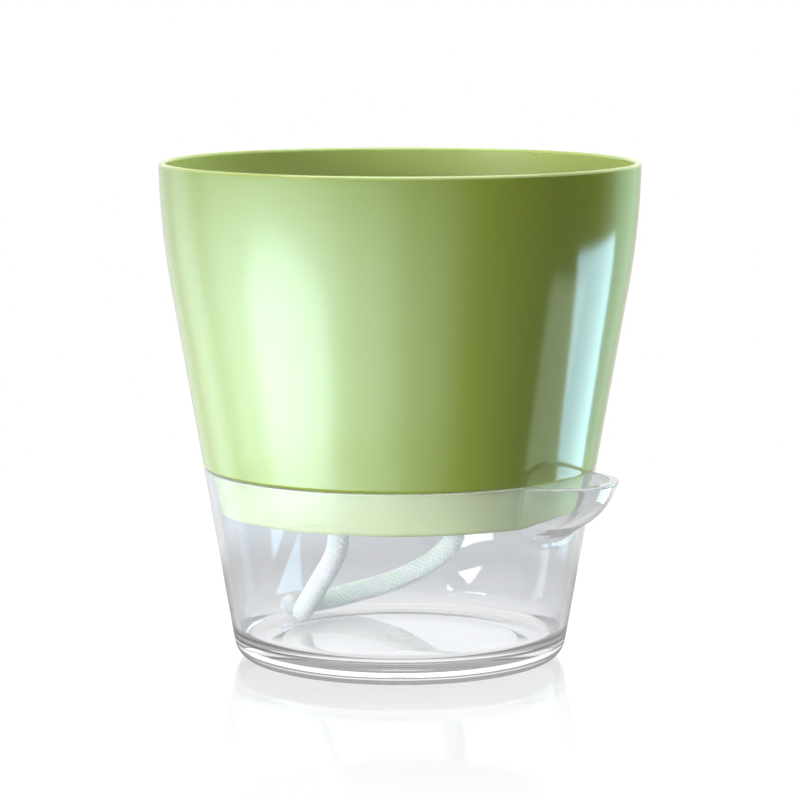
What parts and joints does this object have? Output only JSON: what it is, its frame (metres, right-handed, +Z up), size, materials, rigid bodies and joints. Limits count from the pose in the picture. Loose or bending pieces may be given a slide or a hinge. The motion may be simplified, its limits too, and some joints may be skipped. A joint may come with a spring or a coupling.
{
  "type": "self-watering plant pot",
  "caption": "Round tapered glossy planter standing in a clear water reservoir with a pouring spout, with a white cotton wick that draws the water up into the soil.",
  "frame": {"origin": "centre of the reservoir's foot ring, on the surface that the pot stands on", "axes": "+Z up along the pot's axis, +X through the middle of the spout"},
  "size_m": [0.1422, 0.1404, 0.1462],
  "materials": {
    "planter_plastic": "gloss",
    "clear_plastic": "clear gloss",
    "wick_cotton": "braided cotton"
  },
  "bodies": {
    "reservoir": {"reservoir": "clear_plastic"},
    "planter": {"planter": "planter_plastic", "wick_loop": "wick_cotton", "wick_front": "wick_cotton", "wick_rear": "wick_cotton"}
  },
  "joints": [
    {"name": "planter_lift", "type": "slide", "parent": "reservoir", "child": "planter", "axis": [0, 0, 1], "range_m": [0, 0.08]}
  ]
}
